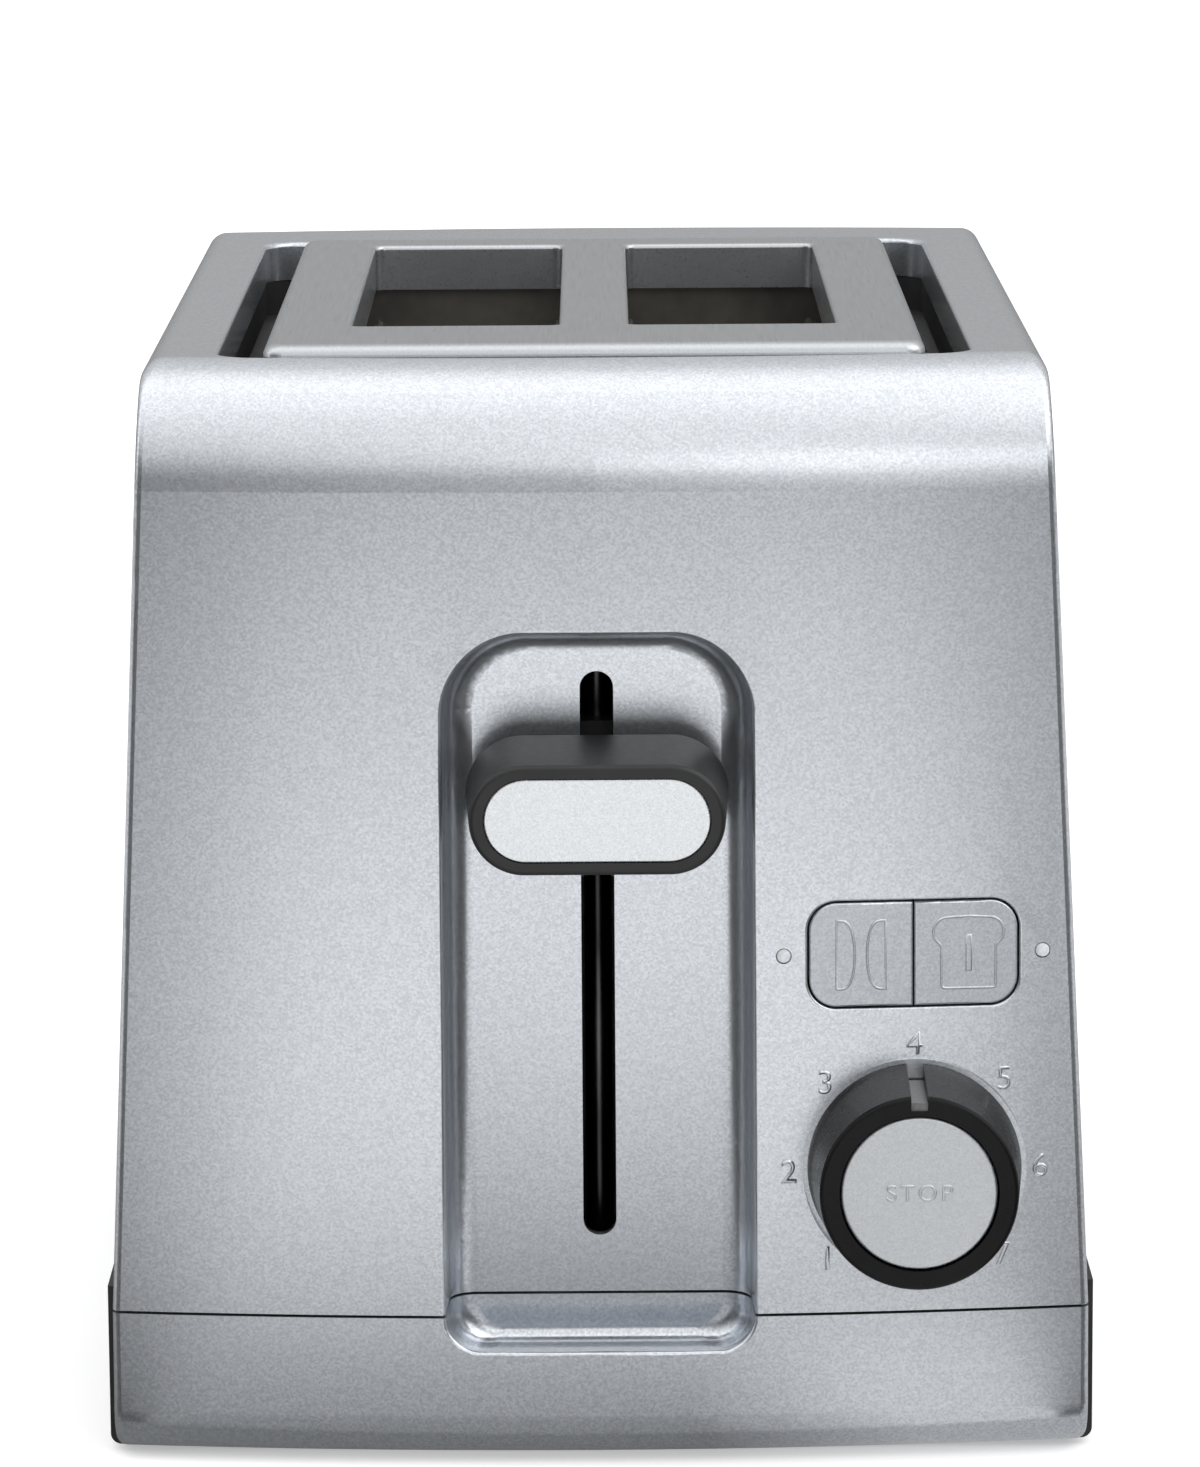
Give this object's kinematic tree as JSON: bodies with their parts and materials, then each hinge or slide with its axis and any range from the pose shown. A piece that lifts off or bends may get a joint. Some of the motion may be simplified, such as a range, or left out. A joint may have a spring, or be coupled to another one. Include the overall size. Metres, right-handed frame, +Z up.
{
  "type": "pop up toaster",
  "caption": "Pop up toaster with side-by-side bread slots in the top, a lever in a deep front recess, a browning dial with a push cap and a pair of buttons.",
  "frame": {"origin": "centre of the overall box, on the surface the toaster stands on", "axes": "+X to the right seen from the lever end, +Y from the lever end to the crumb tray end, +Z up"},
  "size_m": [0.1786, 0.2829, 0.2],
  "materials": {
    "silver_shell": "metallic silver lacquer",
    "silver_trim": "fine satin",
    "black_base": "fine grain",
    "black_grip": "fine satin",
    "rubber": "matt",
    "stainless": "satin",
    "plated_steel": "zinc plated",
    "wire_steel": "bright wire",
    "mica": "matt, mottled",
    "nichrome": "dull ribbon",
    "inner_plastic": "matt",
    "magnet_steel": "dull",
    "copper": "lacquered wire",
    "brass_leaf": "bright",
    "circuit_board": "satin",
    "lamp_clear": "clear",
    "screw_zinc": "zinc plated",
    "capacitor_can": "sleeved can",
    "pointer_grey": "satin",
    "lead_skin": "matt"
  },
  "bodies": {
    "housing": {"housing_shell": "silver_shell", "front_skirt": "silver_shell", "base_tray": "black_base", "base_screws": "screw_zinc", "feet": "rubber", "cord_gland": "black_base", "slot_plate": "stainless", "rim_collar": "black_base", "chamber_front_plate": "plated_steel", "chamber_rear_plate": "plated_steel", "side_reflector_left": "plated_steel", "side_reflector_right": "plated_steel", "heater_card_left": "mica", "heater_card_centre": "mica", "heater_card_right": "mica", "heater_winding_left": "nichrome", "heater_winding_centre": "nichrome", "heater_winding_right": "nichrome", "carriage_guide_rod": "wire_steel", "carriage_spring": "wire_steel", "magnet_yoke": "magnet_steel", "magnet_coil": "copper", "contact_block": "inner_plastic", "power_contacts": "brass_leaf", "control_board": "circuit_board", "board_screws": "screw_zinc", "board_relay": "inner_plastic", "board_capacitor": "capacitor_can", "dial_potentiometer": "inner_plastic", "push_switches": "inner_plastic", "indicator_lamp_left": "lamp_clear", "indicator_lamp_right": "lamp_clear", "terminal_block": "inner_plastic", "mains_leads": "lead_skin"},
    "carriage": {"carriage_block": "inner_plastic", "carriage_arm": "plated_steel", "bread_rack_left": "plated_steel", "bread_rack_right": "plated_steel", "lever_stem": "plated_steel", "lever_grip": "black_grip", "lever_insert": "silver_trim", "armature_plate": "magnet_steel"},
    "dial": {"dial_knob": "black_grip", "dial_pointer": "pointer_grey", "dial_shaft": "inner_plastic"},
    "stop_button": {"stop_cap": "silver_trim"},
    "bagel_button": {"bagel_button": "silver_shell"},
    "single_slice_button": {"single_slice_button": "silver_shell"},
    "crumb_tray": {"crumb_pan": "plated_steel", "crumb_handle": "black_base"},
    "guide_left_outer": {"bread_guide_left_outer": "wire_steel"},
    "guide_left_inner": {"bread_guide_left_inner": "wire_steel"},
    "guide_right_outer": {"bread_guide_right_outer": "wire_steel"},
    "guide_right_inner": {"bread_guide_right_inner": "wire_steel"}
  },
  "joints": [
    {"name": "carriage_slide", "type": "slide", "parent": "housing", "child": "carriage", "axis": [0, 0, 1], "range_m": [-0.075, 0.014], "stiffness_N_per_m": 100, "springref_m": 0.03, "deforming": ["carriage_spring"]},
    {"name": "dial_turn", "type": "hinge", "parent": "housing", "child": "dial", "pos_m": [0.0565, -0.12335, 0.054], "axis": [0, -1, 0], "range_deg": [-135, 135]},
    {"name": "stop_press", "type": "slide", "parent": "housing", "child": "stop_button", "axis": [0, 1, 0], "range_m": [0, 0.0015], "stiffness_N_per_m": 400},
    {"name": "bagel_press", "type": "slide", "parent": "housing", "child": "bagel_button", "axis": [0, 1, 0], "range_m": [0, 0.0012], "stiffness_N_per_m": 300},
    {"name": "single_slice_press", "type": "slide", "parent": "housing", "child": "single_slice_button", "axis": [0, 1, 0], "range_m": [0, 0.0012], "stiffness_N_per_m": 300},
    {"name": "crumb_tray_slide", "type": "slide", "parent": "housing", "child": "crumb_tray", "axis": [0, 1, 0], "range_m": [0, 0.2]},
    {"name": "guide_left_outer_pivot", "type": "hinge", "parent": "housing", "child": "guide_left_outer", "pos_m": [-0.0437, 0, 0.02], "axis": [0, 1, 0], "range_deg": [-0.66, 3.51]},
    {"name": "guide_left_inner_pivot", "type": "hinge", "parent": "housing", "child": "guide_left_inner", "pos_m": [-0.0071, 0, 0.02], "axis": [0, 1, 0], "range_deg": [-3.51, 0.66]},
    {"name": "guide_right_outer_pivot", "type": "hinge", "parent": "housing", "child": "guide_right_outer", "pos_m": [0.0437, 0, 0.02], "axis": [0, 1, 0], "range_deg": [-3.51, 0.66]},
    {"name": "guide_right_inner_pivot", "type": "hinge", "parent": "housing", "child": "guide_right_inner", "pos_m": [0.0071, 0, 0.02], "axis": [0, 1, 0], "range_deg": [-0.66, 3.51]}
  ],
  "couplings": [
    {"joint": "guide_left_outer_pivot", "follows": "carriage_slide", "rad_per_m": -0.8145},
    {"joint": "guide_left_inner_pivot", "follows": "carriage_slide", "rad_per_m": 0.8145},
    {"joint": "guide_right_outer_pivot", "follows": "carriage_slide", "rad_per_m": 0.8145},
    {"joint": "guide_right_inner_pivot", "follows": "carriage_slide", "rad_per_m": -0.8145}
  ]
}
